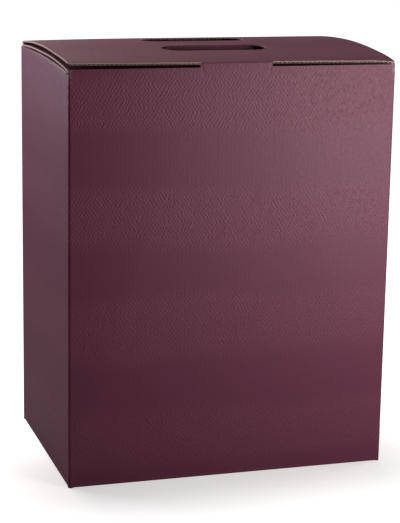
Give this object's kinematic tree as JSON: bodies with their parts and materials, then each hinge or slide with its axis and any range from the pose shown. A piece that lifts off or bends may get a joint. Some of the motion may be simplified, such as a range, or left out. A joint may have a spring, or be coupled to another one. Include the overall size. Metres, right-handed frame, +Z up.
{
  "type": "bottle box",
  "caption": "Tall folded corrugated carton for upright bottles, with a bowed outer lid that has two hand holes and a strap between them, and an inner partition.",
  "frame": {"origin": "middle of the underside", "axes": "+Z up, -Y the front with the lid's crease, +X to the right seen from the front"},
  "size_m": [0.255, 0.175, 0.3274],
  "materials": {
    "coated_board": "embossed plum coating over corrugated board, grey-brown cut edges",
    "kraft_board": "plain kraft corrugated board"
  },
  "bodies": {
    "carton": {"carton": "coated_board", "bottom": "coated_board", "inner_lid": "coated_board", "long_divider": "kraft_board", "cross_divider_left": "kraft_board", "cross_divider_right": "kraft_board"},
    "outer_lid": {"outer_lid": "coated_board"}
  },
  "joints": [
    {"name": "outer_lid", "type": "hinge", "parent": "carton", "child": "outer_lid", "pos_m": [0, -0.0875, 0.3218], "axis": [1, 0, 0], "range_deg": [0, 175]}
  ]
}
